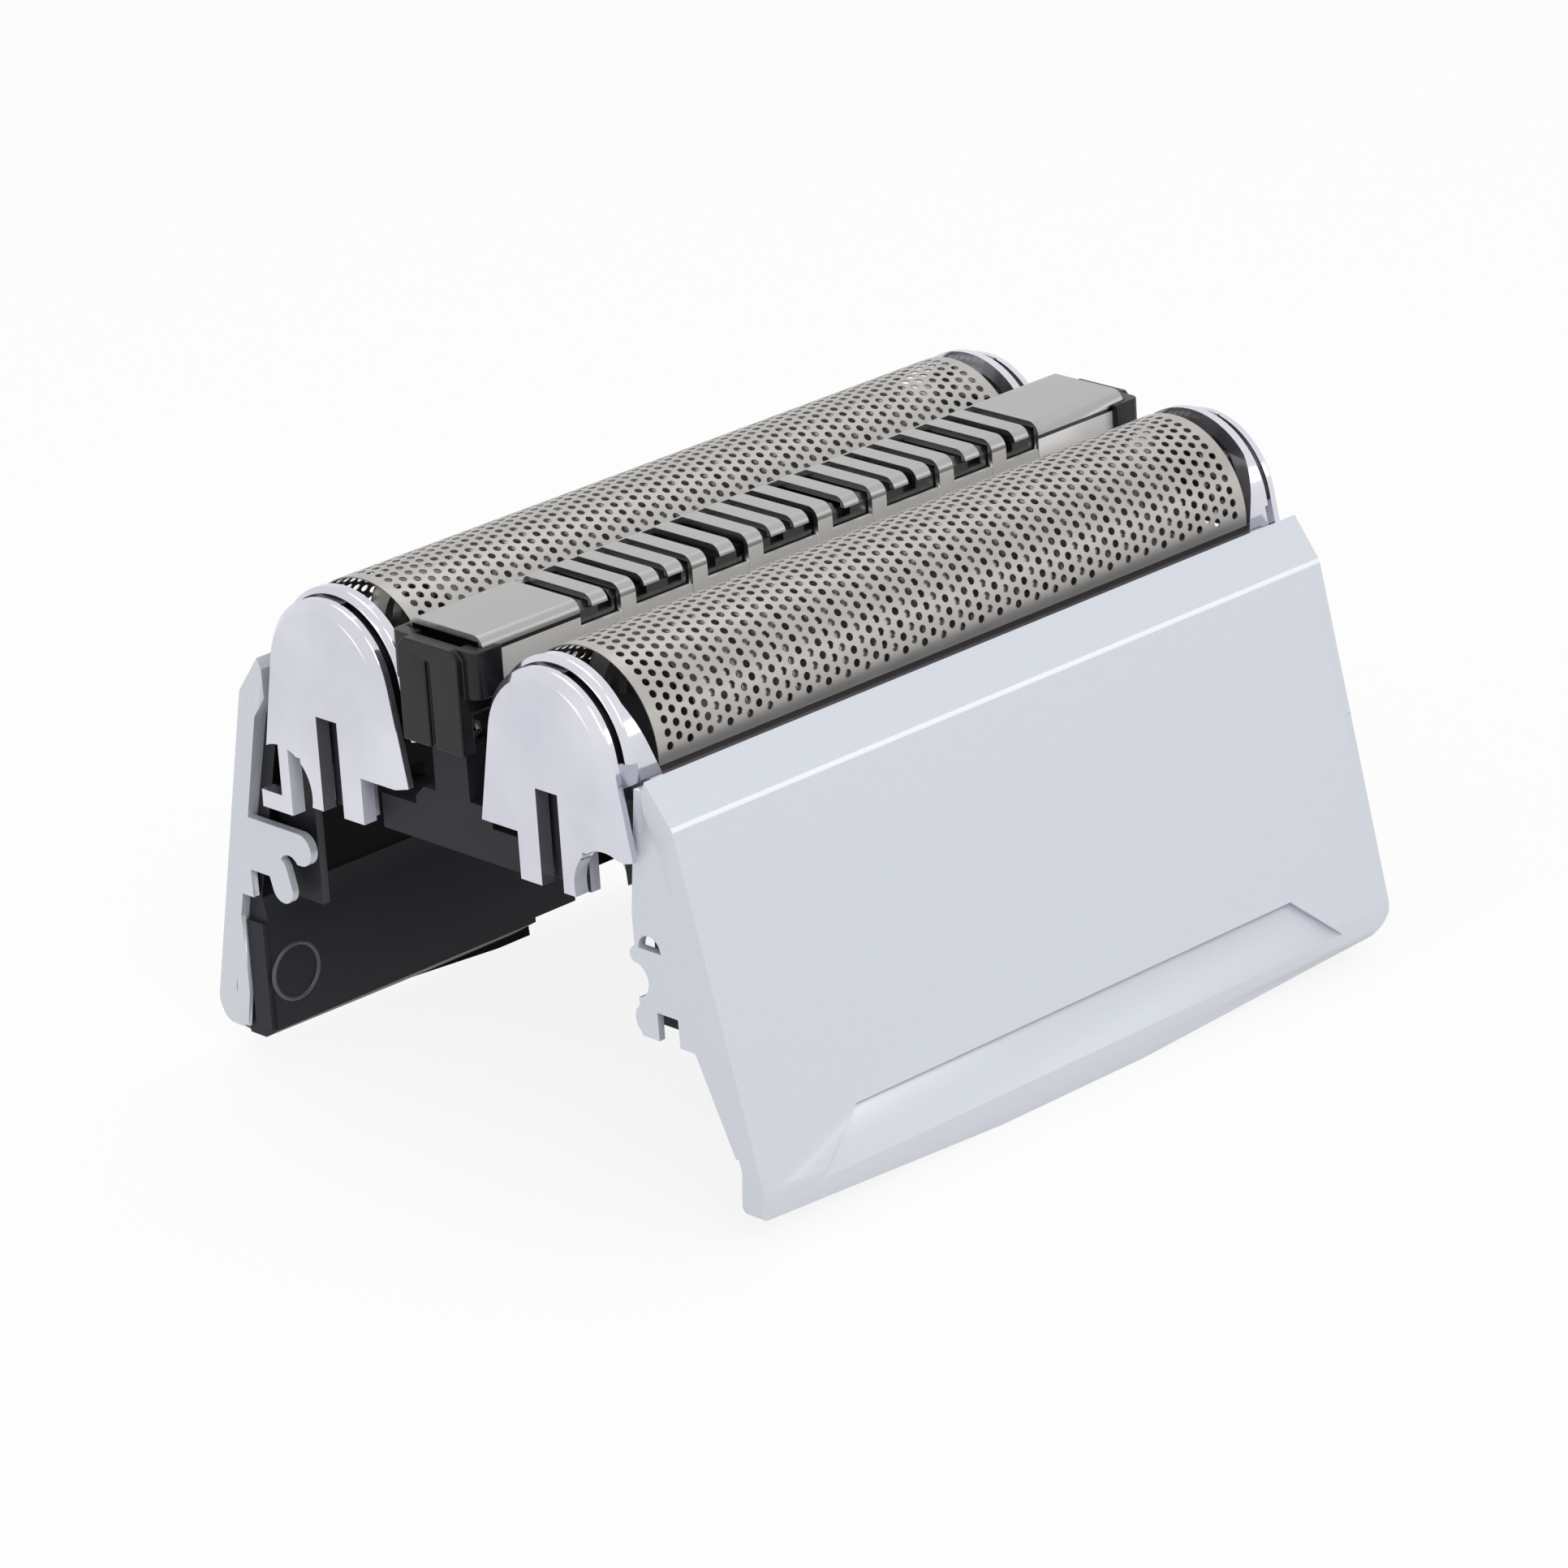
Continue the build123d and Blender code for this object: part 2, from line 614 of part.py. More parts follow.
# Liner behind the front panel: a rim inside the panel's lip, a wall, and a thick rail below a sloped ledge.
with BuildPart() as liner:
    rim_y = panel_lip_y - seat_gap
    wall_top_z = ridge_z - panel_wall
    ledge_low_z = liner_ledge_z - liner_ledge_height
    with BuildSketch(panel_section(liner_short_x)):
        with BuildLine():
            Polyline(
                (liner_outer(liner_ledge_z), liner_ledge_z), (liner_outer(wall_top_z), wall_top_z - seat_gap),
                (rim_y, ridge_z - seat_gap), (rim_y, rim_top_z), (rim_y - rim_wall, rim_top_z),
                (rim_y - rim_wall, wall_top_z), (liner_outer(bridge_top_z) - liner_wall, bridge_top_z),
                (liner_outer(liner_ledge_z) - liner_wall, liner_ledge_z), close=True,
            )
        make_face()
    extrude(amount=2 * liner_short_x)
    # The rail stops short of the strip rib at -X
    with BuildSketch(panel_section(liner_short_x)):
        with BuildLine():
            Polyline(
                (liner_outer(liner_ledge_z), liner_ledge_z), (liner_outer(liner_tuck_z), liner_tuck_z),
                (foot_y - foot_width - seat_gap, liner_toe_z), (rail_inner_y, liner_foot_z),
                (rail_inner_y, ledge_low_z), (liner_outer(liner_ledge_z) - liner_wall, liner_ledge_z),
                close=True,
            )
        make_face()
    extrude(amount=liner_short_x + end_wall_x)
    # The rail runs on to the panel's +X end, where its inner corner is rounded
    with BuildSketch(Plane.XY.offset(liner_foot_z)):
        with Locations((liner_short_x, -rail_inner_y)):
            Rectangle(liner_long_x - liner_short_x, rail_end_y - rail_inner_y, align=(Align.MIN, Align.MAX))
        inner_corner = vertices().group_by(Axis.X)[-1].sort_by(Axis.Y)[-1]
        chamfer(inner_corner, liner_long_x - liner_short_x - seat_gap, rail_end_round)
    extrude(amount=ledge_low_z - liner_foot_z)
    # Relief in the lower edge, deeper towards -X
    with BuildSketch(Plane.XZ):
        with Locations((-relief_length / 2, liner_toe_z)):
            Rectangle(relief_length, relief_height, align=(Align.MIN, Align.MIN))
            Rectangle(relief_core_length, relief_core_height, align=(Align.MIN, Align.MIN))
    extrude(amount=skirt_y, mode=Mode.SUBTRACT)
    # The toe is bowed like the panel's lower edge
    with BuildSketch(Plane.XZ):
        with BuildLine():
            Polyline(
                (-panel_length / 2, panel_top_z), (-end_low, -panel_end_drop),
                (-panel_foot_half, -foot_drop), (panel_foot_half, -foot_drop),
                (end_low, -panel_end_drop), (panel_length / 2, panel_top_z), close=True,
            )
        make_face()
    extrude(amount=skirt_y, mode=Mode.INTERSECT)

# Frame: two end walls with guide posts and stems, joined by the liners behind the panels.
with BuildPart() as frame:
    # End wall at -X: a crossbar behind the caps, lower between the posts
    with BuildSketch(Plane.YZ.offset(-end_wall_outer_x)):
        for side in (-1, 1):
            with Locations((side * (web_half_width + liner_outer(bridge_top_z)) / 2, bridge_bottom_z)):
                Rectangle(liner_outer(bridge_top_z) - web_half_width, bridge_top_z - bridge_bottom_z,
                          align=(Align.CENTER, Align.MIN))
        with Locations((0, web_bottom_z)):
            Rectangle(2 * web_back_half, web_top_z - web_bottom_z, align=(Align.CENTER, Align.MIN))
    extrude(amount=end_wall_depth)
    # Arms down the liners, behind the clip ribs
    with BuildSketch(Plane.YZ.offset(-end_wall_outer_x)):
        with BuildLine():
            Polyline(
                (arm_inner_y, arm_bottom_z), (liner_outer(arm_bottom_z), arm_bottom_z),
                (liner_outer(bridge_top_z), bridge_top_z), (arm_inner_y, bridge_top_z), close=True,
            )
        make_face()
        mirror(about=Plane.YZ)
    extrude(amount=arm_depth)
    # Web between the caps, stepped up to the stem that guides the trimmer's head
    with BuildSketch(Plane.YZ.offset(-stem_outer_x)):
        with Locations((0, web_bottom_z)):
            Rectangle(2 * web_step_half, web_top_z + web_step - web_bottom_z, align=(Align.CENTER, Align.MIN))
            chamfer(vertices().group_by(Axis.Y)[-1], web_step_corner)
            Rectangle(2 * web_half_width, web_top_z - web_bottom_z, align=(Align.CENTER, Align.MIN))
            Rectangle(2 * stem_half_width, stem_top_z - web_bottom_z, align=(Align.CENTER, Align.MIN))
    extrude(amount=stem_outer_x - end_wall_x)
    # Pocket for the trimmer's spring
    with BuildSketch(Plane.XY.offset(stem_top_z)):
        with Locations((-stem_x, 0)):
            Circle(stem_pocket_radius)
    extrude(amount=-stem_pocket_depth, mode=Mode.SUBTRACT)
    # Guide posts behind the cap plates, each with a tongue that shows in the cap's slot
    with BuildSketch(Plane.XY.offset(post_bottom_z)):
        for side in (-1, 1):
            with Locations((-post_outer_x, side * cartridge_y)):
                Rectangle(post_outer_x - end_wall_outer_x + seat_gap, 2 * post_half_width,
                          align=(Align.MIN, Align.CENTER))
    extrude(amount=post_top_z - post_bottom_z)
    with BuildSketch(Plane.XY.offset(tongue_bottom_z)):
        for side in (-1, 1):
            with Locations((-post_outer_x, side * cartridge_y)):
                Rectangle(tongue_depth, 2 * tongue_half_width, align=(Align.MIN, Align.CENTER))
    extrude(amount=post_bottom_z + seat_gap - tongue_bottom_z)
    mirror(about=Plane.YZ)
    add(liner.part)
    add(liner.part, rotation=(0, 0, 180))


def spring(x, y, bottom_z, top_z):
    """Compression spring of square wire, standing between two seats."""
    rise = top_z - bottom_z - 2 * wire_side
    steps = spring_turns * spring_facets
    coil_points = []
    for i in range(steps + 1):
        turn = 2 * pi * i / spring_facets
        height = bottom_z + wire_side + rise * i / steps
        coil_points.append((x + spring_radius * cos(turn), y + spring_radius * sin(turn), height))
    with BuildPart() as coil:
        with BuildLine() as path:
            Polyline(*coil_points)
        with BuildSketch(Plane(path.line @ 0, z_dir=path.line % 0)):
            Rectangle(wire_side, wire_side)
        sweep(path=path.line, transition=Transition.RIGHT)
    return coil


def panel_outer(z):
    """Distance from the middle plane to the main face of a panel at height z."""
    return ridge_y + (ridge_z - z) * tan(panel_lean)


# Finger grip: a shallow cut in the lower part of a panel, deepest under its upper edge.
with BuildPart() as grip:
    with BuildSketch(panel_section(grip_bottom_half)):
        with BuildLine():
            Polyline(
                (panel_outer(grip_top_z) - grip_depth, grip_top_z),
                (panel_outer(grip_top_z) + panel_wall, grip_top_z),
                (panel_outer(grip_bottom_z) + panel_wall, grip_bottom_z),
                (panel_outer(grip_bottom_z) - grip_toe_depth, grip_bottom_z), close=True,
            )
        make_face()
    extrude(amount=2 * grip_bottom_half)
    with BuildSketch(Plane.XZ):
        with BuildLine():
            Polyline(
                (-grip_bottom_half, grip_bottom_z), (grip_bottom_half, grip_bottom_z),
                (grip_top_half, grip_top_z), (-grip_top_half, grip_top_z), close=True,
            )
        make_face()
    extrude(amount=skirt_y + 2 * panel_wall, mode=Mode.INTERSECT)

# Clip rib at the -X end: a strip with a catch under a half round hole, a notch, a bump and a square keyway.
with BuildPart() as strip_rib:
    with BuildSketch(panel_section(-rib_inner_x)):
        with BuildLine():
            Polyline(
                (strip_top_y, strip_top_z), (strip_y, strip_bend_z), (strip_y, clip_bottom_z),
                (panel_inner(clip_bottom_z) - panel_wall, clip_bottom_z),
                (panel_inner(strip_toe_z) - strip_toe, strip_toe_z),
                (panel_inner(strip_toe_z) + rib_bite, strip_toe_z),
                (panel_inner(wall_top_z) + rib_bite, wall_top_z), (panel_lip_y + rib_bite, strip_top_z),
                close=True,
            )
        make_face()
        with Locations((hole_y, hole_z)):
            Circle(hole_radius, mode=Mode.SUBTRACT)
        with Locations((catch_y, hole_z)):
            Rectangle(hole_y + hole_radius - catch_y, catch_height, align=(Align.MIN, Align.MAX))
        with Locations((catch_y, hole_z - catch_height / 2)):
            Circle(catch_height / 2)
        with Locations((notch_y, notch_z)):
            Circle(notch_radius, mode=Mode.SUBTRACT)
        with Locations((bump_y, clip_bottom_z + bump_radius)):
            Circle(bump_radius)
        with Locations((key_y, clip_bottom_z)):
            Rectangle(key_width, key_height, align=(Align.CENTER, Align.MIN), mode=Mode.SUBTRACT)
    extrude(amount=rib_depth)

# Clip rib at the +X end: a round-nosed bracket over a curl, a finger, a square keyway, and a heel below.
with BuildPart() as bracket_rib:
    with BuildSketch(panel_section(rib_outer_x)):
        with Locations((bracket_y, bracket_z)):
            Circle(bracket_height / 2)
            Rectangle(panel_inner(bracket_z) + rib_bite - bracket_y, bracket_height,
                      align=(Align.MIN, Align.CENTER))
        with Locations((finger_y, finger_z)):
            Rectangle(panel_inner(finger_z) - finger_y, bracket_z - finger_z, align=(Align.MIN, Align.MIN))
        with Locations((stop_y, clip_bottom_z)):
            Rectangle(panel_inner(clip_bottom_z) + rib_bite - stop_y, bracket_z - clip_bottom_z,
                      align=(Align.MIN, Align.MIN))
        with Locations((curl_y, curl_z)):
            Circle(curl_radius, mode=Mode.SUBTRACT)
        with Locations((finger_y, finger_z)):
            SlotCenterToCenter(finger_length, finger_thickness, rotation=finger_lean)
        with BuildLine():
            Polyline(
                (heel_y, heel_top_z), (heel_y, liner_tuck_z), (heel_y + rib_bite, heel_bottom_z),
                (foot_y, heel_bottom_z), (panel_inner(heel_top_z) + rib_bite, heel_top_z), close=True,
            )
        make_face()
    extrude(amount=rib_depth)

# Panel: a sloped shell with a bevelled top, tapered ends, a finger grip, and a clip rib inside each end.
with BuildPart() as front_panel:
    with BuildSketch(panel_section(panel_length / 2)):
        with BuildLine():
            FilletPolyline(
                (panel_lip_y, panel_top_z - foot_width), (panel_top_y, panel_top_z), (ridge_y, ridge_z),
                (skirt_y, skirt_z), (foot_y, -foot_drop), (foot_y - foot_width, -foot_drop),
                (panel_inner(liner_tuck_z), liner_tuck_z), (panel_inner(wall_top_z), wall_top_z),
                (panel_lip_y, ridge_z),
                radius=[0, 0, ridge_round, skirt_round, 0, 0, 0, 0, 0], close=True,
            )
        make_face()
    extrude(amount=panel_length)
    add(grip.part, mode=Mode.SUBTRACT)
    add(strip_rib.part)
    add(bracket_rib.part)
    with BuildSketch(Plane.XZ):
        with BuildLine():
            FilletPolyline(
                (-panel_length / 2, panel_top_z), (-end_low, -panel_end_drop),
                (-panel_foot_half, -foot_drop), (panel_foot_half, -foot_drop),
                (end_low, -panel_end_drop), (panel_length / 2, panel_top_z),
                radius=[0, panel_corner, 0, 0, panel_corner, 0], close=True,
            )
        make_face()
    extrude(amount=skirt_y + panel_wall, mode=Mode.INTERSECT)

# Rear panel: the front one turned, with a notch in its lower edge.
with BuildPart() as rear_panel:
    add(front_panel.part, rotation=(0, 0, 180))
    with BuildSketch(Plane.XZ):
        with Locations((rear_notch_x, -foot_drop)):
            Rectangle(rear_notch_length, foot_drop + rear_notch_top_z, align=(Align.MIN, Align.MIN))
    extrude(amount=-skirt_y - panel_wall, mode=Mode.SUBTRACT)

save(frame, "frame")
save(front_panel, "front_panel")
save(rear_panel, "rear_panel")
save(front_foil, "front_foil")
save(turned(front_foil), "rear_foil")
save(front_foil_frame, "front_foil_frame")
save(turned(front_foil_frame), "rear_foil_frame")
save(front_blade_carrier, "front_blade_carrier")
save(turned(front_blade_carrier), "rear_blade_carrier")
save(front_blades, "front_blades")
save(turned(front_blades), "rear_blades")
save(trimmer_comb, "trimmer_comb")
save(trimmer_blade, "trimmer_blade")
save(trimmer_driver, "trimmer_driver")
save(trimmer_carrier, "trimmer_carrier")
for end, x_sign in (("left", -1), ("right", 1)):
    for name, y_sign in (("front", -1), ("rear", 1)):
        coil = spring(x_sign * spring_x, y_sign * cartridge_y, post_top_z, spring_seat_z)
        save(coil, f"{name}_spring_{end}")
    trimmer_coil = spring(x_sign * stem_x, 0, stem_top_z - stem_pocket_depth, beam_bottom_z)
    save(trimmer_coil, f"trimmer_spring_{end}")
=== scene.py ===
"""The looks of a shaver foil head: materials, fine meshes, camera and light around the CAD nodes.

Lengths are in millimetres, unless a comment says metres. Names in capitals are chosen values, and the others
are measured from the frame or worked out.
"""
import json
import math

import bmesh
import bpy
from mathutils import Matrix, Vector


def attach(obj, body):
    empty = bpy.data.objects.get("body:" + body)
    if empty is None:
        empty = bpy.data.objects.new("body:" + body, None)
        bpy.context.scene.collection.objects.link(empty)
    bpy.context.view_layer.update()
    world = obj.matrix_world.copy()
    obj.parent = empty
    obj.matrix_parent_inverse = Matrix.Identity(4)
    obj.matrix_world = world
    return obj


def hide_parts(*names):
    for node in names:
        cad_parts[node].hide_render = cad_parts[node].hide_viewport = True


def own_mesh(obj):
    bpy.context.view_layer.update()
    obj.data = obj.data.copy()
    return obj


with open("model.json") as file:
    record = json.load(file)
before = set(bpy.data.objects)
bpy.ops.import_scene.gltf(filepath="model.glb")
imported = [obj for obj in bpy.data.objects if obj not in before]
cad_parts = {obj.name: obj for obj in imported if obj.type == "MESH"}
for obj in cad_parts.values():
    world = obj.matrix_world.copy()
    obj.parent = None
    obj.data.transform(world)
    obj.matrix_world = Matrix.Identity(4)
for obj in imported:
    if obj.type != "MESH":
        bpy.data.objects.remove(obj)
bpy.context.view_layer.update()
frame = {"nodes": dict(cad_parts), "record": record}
nodes = frame["nodes"]
body_of = {n: b for b, ns in frame["record"]["behaviour"]["bodies"].items() for n in ns}
slot_of = {s["node"]: s["material_slot"] for s in frame["record"]["subparts"]}
MM = 0.001
scene = bpy.context.scene
scene.view_settings.view_transform = "Standard"

# Materials
GRAIN_DETAIL = 3.0
GRAIN_HEIGHT = 0.05
TINT_BAND = (0.35, 0.65)


def material(name, color, metallic=0.0, roughness=0.5, **sockets):
    """A principled material with plain values on the shader's own sockets."""
    mat = bpy.data.materials.new(name)
    mat.use_nodes = True
    shader = mat.node_tree.nodes["Principled BSDF"]
    shader.inputs["Base Color"].default_value = (*color, 1.0)
    shader.inputs["Metallic"].default_value = metallic
    shader.inputs["Roughness"].default_value = roughness
    for key, value in sockets.items():
        shader.inputs[key.replace("_", " ")].default_value = value
    return mat


def grain(mat, scale, strength=0.0, stretch=(1, 1, 1), rough=None, tint=None):
    """Adds a fine procedural grain: bump, and if asked a range of roughness and a second colour."""
    tree = mat.node_tree
    shader = tree.nodes["Principled BSDF"]
    place = tree.nodes.new("ShaderNodeTexCoord")
    spread = tree.nodes.new("ShaderNodeMapping")
    spread.inputs["Scale"].default_value = stretch
    noise = tree.nodes.new("ShaderNodeTexNoise")
    noise.inputs["Scale"].default_value = scale
    noise.inputs["Detail"].default_value = GRAIN_DETAIL
    tree.links.new(place.outputs["Object"], spread.inputs["Vector"])
    tree.links.new(spread.outputs["Vector"], noise.inputs["Vector"])
    if strength:
        bump = tree.nodes.new("ShaderNodeBump")
        bump.inputs["Strength"].default_value = strength
        bump.inputs["Distance"].default_value = GRAIN_HEIGHT * MM
        tree.links.new(noise.outputs["Fac"], bump.inputs["Height"])
        tree.links.new(bump.outputs["Normal"], shader.inputs["Normal"])
    if rough:
        levels = tree.nodes.new("ShaderNodeMapRange")
        levels.inputs["To Min"].default_value = rough[0]
        levels.inputs["To Max"].default_value = rough[1]
        tree.links.new(noise.outputs["Fac"], levels.inputs["Value"])
        tree.links.new(levels.outputs["Result"], shader.inputs["Roughness"])
    if tint:
        ramp = tree.nodes.new("ShaderNodeValToRGB")
        colors = (shader.inputs["Base Color"].default_value, (*tint, 1.0))
        for stop, position, color in zip(ramp.color_ramp.elements, TINT_BAND, colors):
            stop.position = position
            stop.color = color
        tree.links.new(noise.outputs["Fac"], ramp.inputs["Fac"])
        tree.links.new(ramp.outputs["Color"], shader.inputs["Base Color"])


CLEAR_COAT = {"Coat_Weight": 0.4, "Coat_Roughness": 0.2}
LACQUER = {"scale": 9000, "strength": 0.04}
POLISH = {"scale": 160}
PLATING = {"scale": 2500, "strength": 0.04}
NICKEL = {"scale": 2500, "strength": 0.03}
BRUSHED = {"scale": 4000, "strength": 0.04, "stretch": (0.05, 1, 1)}
GROUND = {"scale": 3000, "strength": 0.04}
DRAWN = {"scale": 4000, "strength": 0.04}
COARSE_MOULD = {"scale": 6000, "strength": 0.12}
FINE_MOULD = {"scale": 6000, "strength": 0.1}

panel_mat = material("silver_lacquer", (0.64, 0.665, 0.71), metallic=0.3, roughness=0.42, **CLEAR_COAT)
grain(panel_mat, **LACQUER, tint=(0.66, 0.685, 0.73))
# a lighter copy of the lacquer: painted highlight along the panels' ridge
ridge_highlight_mat = material("silver_ridge_highlight", (0.84, 0.86, 0.9), metallic=0.2, roughness=0.35, **CLEAR_COAT)
grain(ridge_highlight_mat, **LACQUER, tint=(0.86, 0.88, 0.92))
chrome_mat = material("chrome", (0.62, 0.625, 0.69), metallic=0.9)
grain(chrome_mat, **POLISH, rough=(0.08, 0.16), tint=(0.72, 0.72, 0.78))
satin_mat = material("satin_chrome", (0.6, 0.61, 0.68), metallic=0.2)
grain(satin_mat, **PLATING, rough=(0.35, 0.45))
# near-black chrome: painted shade in the groove between an end plate and its hoop
crease_shade_mat = material("chrome_crease_shade", (0.05, 0.05, 0.055), metallic=1.0)
grain(crease_shade_mat, **PLATING, rough=(0.26, 0.36))
foil_mat = material("foil_nickel", (0.43, 0.415, 0.395), metallic=1.0)
grain(foil_mat, **NICKEL, stretch=(0.2, 1, 1), rough=(0.34, 0.46))
# near-black nickel: painted shade on the foils' inner side and lower rims
foil_shade_mat = material("foil_rim_shade", (0.06, 0.055, 0.05), metallic=1.0)
grain(foil_shade_mat, **NICKEL, rough=(0.4, 0.5))
comb_mat = material("comb_steel", (0.41, 0.405, 0.405), metallic=1.0)
grain(comb_mat, **BRUSHED, rough=(0.24, 0.38))
# a lighter copy of the comb's steel: painted light on its front and rail
comb_light_mat = material("comb_painted_light", (0.74, 0.725, 0.7), metallic=0.2)
grain(comb_light_mat, **BRUSHED, rough=(0.3, 0.42))
# near-black steel: painted shade under the comb's fold
shade_mat = material("comb_shade", (0.05, 0.05, 0.05), metallic=1.0)
grain(shade_mat, **BRUSHED, rough=(0.28, 0.42))
blade_mat = material("blade_steel", (0.75, 0.74, 0.72), metallic=1.0)
grain(blade_mat, **GROUND, rough=(0.35, 0.5))
# darkened steel for the trimmer blade: painted shade in the comb's windows
tooth_shade_mat = material("tooth_steel_shade", (0.16, 0.16, 0.16), metallic=1.0)
grain(tooth_shade_mat, **GROUND, rough=(0.3, 0.42))
frame_mat = material("frame_plastic", (0.016, 0.0165, 0.022), Specular_IOR_Level=0.25)
grain(frame_mat, **COARSE_MOULD, rough=(0.44, 0.58))
# a lighter copy of the frame plastic: painted light on the end plates
plate_light_mat = material("frame_plate_light", (0.045, 0.047, 0.06), Specular_IOR_Level=0.3)
grain(plate_light_mat, **COARSE_MOULD, rough=(0.44, 0.58))
# near-black: painted shade on the liners' deep upper walls, and the dark lower lip of the panels' inner walls
inside_mat = material("dark_inside", (0.002, 0.002, 0.003), Specular_IOR_Level=0.06)
grain(inside_mat, **COARSE_MOULD, rough=(0.55, 0.66))
# a lighter grey than the frame: painted highlight on the ring marks
ring_highlight_mat = material("ring_mark", (0.085, 0.087, 0.095))
grain(ring_highlight_mat, **FINE_MOULD, rough=(0.36, 0.46))
black_mat = material("black_plastic", (0.009, 0.009, 0.011), Specular_IOR_Level=0.3)
grain(black_mat, **FINE_MOULD, rough=(0.28, 0.4))
carrier_mat = material("carrier_plastic", (0.02, 0.02, 0.022))
grain(carrier_mat, **FINE_MOULD, rough=(0.44, 0.58))
spring_mat = material("spring_steel", (0.5, 0.5, 0.51), metallic=1.0)
grain(spring_mat, **DRAWN, rough=(0.26, 0.36))
finish = {
    "panel": panel_mat, "cap_chrome": chrome_mat, "foil_nickel": foil_mat, "comb_steel": comb_mat,
    "blade_steel": blade_mat, "frame_plastic": frame_mat, "black_plastic": black_mat,
    "carrier_plastic": carrier_mat, "spring_steel": spring_mat,
}
for name, node in nodes.items():
    node.data.materials.clear()
    node.data.materials.append(finish[slot_of[name]])
# the trimmer blade's darkened steel is painted shade in the comb's windows
nodes["trimmer_blade"].data.materials[0] = tooth_shade_mat

# Tools for the pieces
WELD = 0.001
FLAT_TURN = math.radians(1)
SHARP_TURN = math.radians(35)
BROAD_SEGMENTS = 4
# The part of a normal along an axis: above FACING a face looks that way, and below EDGEWISE it lies along it
FACING = 0.8
EDGEWISE = 0.3


def add_piece(name, mesh, stands_for):
    """Links a finished mesh as a piece that stands for a CAD node and moves with its body."""
    piece = bpy.data.objects.new(name, mesh)
    scene.collection.objects.link(piece)
    mesh.materials.append(finish[slot_of[stands_for]])
    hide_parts(stands_for)
    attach(piece, body_of[stands_for])
    return piece


def new_mesh(name, bm):
    """Turns a finished bmesh into a mesh."""
    mesh = bpy.data.meshes.new(name)
    bm.to_mesh(mesh)
    bm.free()
    return mesh


def smooth(bm):
    """Shades every face of a bmesh smoothly."""
    for face in bm.faces:
        face.smooth = True


def span(name, axis):
    """Lowest and highest place of a CAD node along an axis."""
    node = nodes[name]
    places = [(node.matrix_world @ v.co)[axis] / MM for v in node.data.vertices]
    return min(places), max(places)


def soften(name, width, segments=3, broad=None, broad_width=0.0):
    """A copy of a CAD node with its facets joined and its edges rounded off, the chosen ones more broadly."""
    bm = bmesh.new()
    bm.from_mesh(nodes[name].data)
    bmesh.ops.remove_doubles(bm, verts=bm.verts, dist=WELD * MM)
    bmesh.ops.dissolve_limit(bm, angle_limit=FLAT_TURN, verts=bm.verts, edges=bm.edges)
    smooth(bm)
    if broad:
        weight = bm.edges.layers.float.new("bevel_weight_edge")
        for edge in bm.edges:
            if len(edge.link_faces) == 2 and broad(edge):
                edge[weight] = 1.0
    mesh = new_mesh(name + "_fine", bm)
    mesh.set_sharp_from_angle(angle=SHARP_TURN)
    piece = add_piece(name + "_fine", mesh, name)
    if broad:
        bevel = piece.modifiers.new("broad_edges", "BEVEL")
        bevel.width = broad_width * MM
        bevel.segments = BROAD_SEGMENTS
        bevel.limit_method = "WEIGHT"
        bevel.harden_normals = True
    bevel = piece.modifiers.new("edges", "BEVEL")
    bevel.width = width * MM
    bevel.segments = segments
    bevel.limit_method = "ANGLE"
    bevel.angle_limit = SHARP_TURN
    bevel.harden_normals = True
    return piece


def split(piece, axis, places):
    """Cuts a piece's faces across an axis at the given places, so that a material can change there."""
    across = Vector((0, 0, 0))
    across[axis] = 1
    bm = bmesh.new()
    bm.from_mesh(piece.data)
    for place in places:
        everything = bm.verts[:] + bm.edges[:] + bm.faces[:]
        bmesh.ops.bisect_plane(bm, geom=everything, plane_co=across * place * MM, plane_no=across)
    bm.to_mesh(piece.data)
    bm.free()


def join_bar(piece, low, high):
    """Joins a plain bar between two corners to a piece's mesh."""
    low = Vector(low) * MM
    high = Vector(high) * MM
    bm = bmesh.new()
    place = Matrix.Translation((low + high) / 2) @ Matrix.Diagonal((*(high - low), 1))
    bmesh.ops.create_cube(bm, size=1, matrix=place)
    bar = bpy.data.objects.new("bar", new_mesh("bar", bm))
    base = bpy.data.objects.new("base", piece.data)
    for part in (bar, base):
        scene.collection.objects.link(part)
    join = base.modifiers.new("join", "BOOLEAN")
    join.operation = "UNION"
    join.solver = "EXACT"
    join.object = bar
    finished = base.evaluated_get(bpy.context.evaluated_depsgraph_get())
    piece.data = bpy.data.meshes.new_from_object(finished)
    for part in (bar, base):
        bpy.data.objects.remove(part)


def repaint(piece, mat, chosen):
    """Gives one more material to the faces of a piece that are chosen by their middle and normal."""
    piece.data.materials.append(mat)
    for face in piece.data.polygons:
        if chosen(face.center / MM, face.normal):
            face.material_index = len(piece.data.materials) - 1


def outward(middle, normal):
    """How far a face looks away from the plane midway between the panels, from -1 to 1."""
    return normal.y * math.copysign(1, middle.y)


# Panels: a painted highlight on the ridge under the bevelled top, and a dark lower lip on the inner wall
PANEL_EDGE = 0.12
PANEL_END_EDGE = 0.4
PANEL_END_FACING = 0.85
# The ridge lies within this reach of the panel's top, and the upward part of its normals within this tilt
RIDGE_REACH = 7.2
RIDGE_TILT = (0.27, 0.6)
LIP_HEIGHT = 5.0
LIP_INSET = 0.95
LIP_Y = 15.0
panel_z = span("front_panel", 2)
lip_x = span("front_panel", 0)[1] - LIP_INSET


def panel_end_edge(edge):
    """The edges between a panel's outward faces and its ends."""
    along, end = sorted(edge.link_faces, key=lambda face: abs(face.normal.x))
    at_end = abs(end.normal.x) > PANEL_END_FACING and abs(along.normal.x) < EDGEWISE
    return at_end and outward(along.calc_center_median(), along.normal) > 0


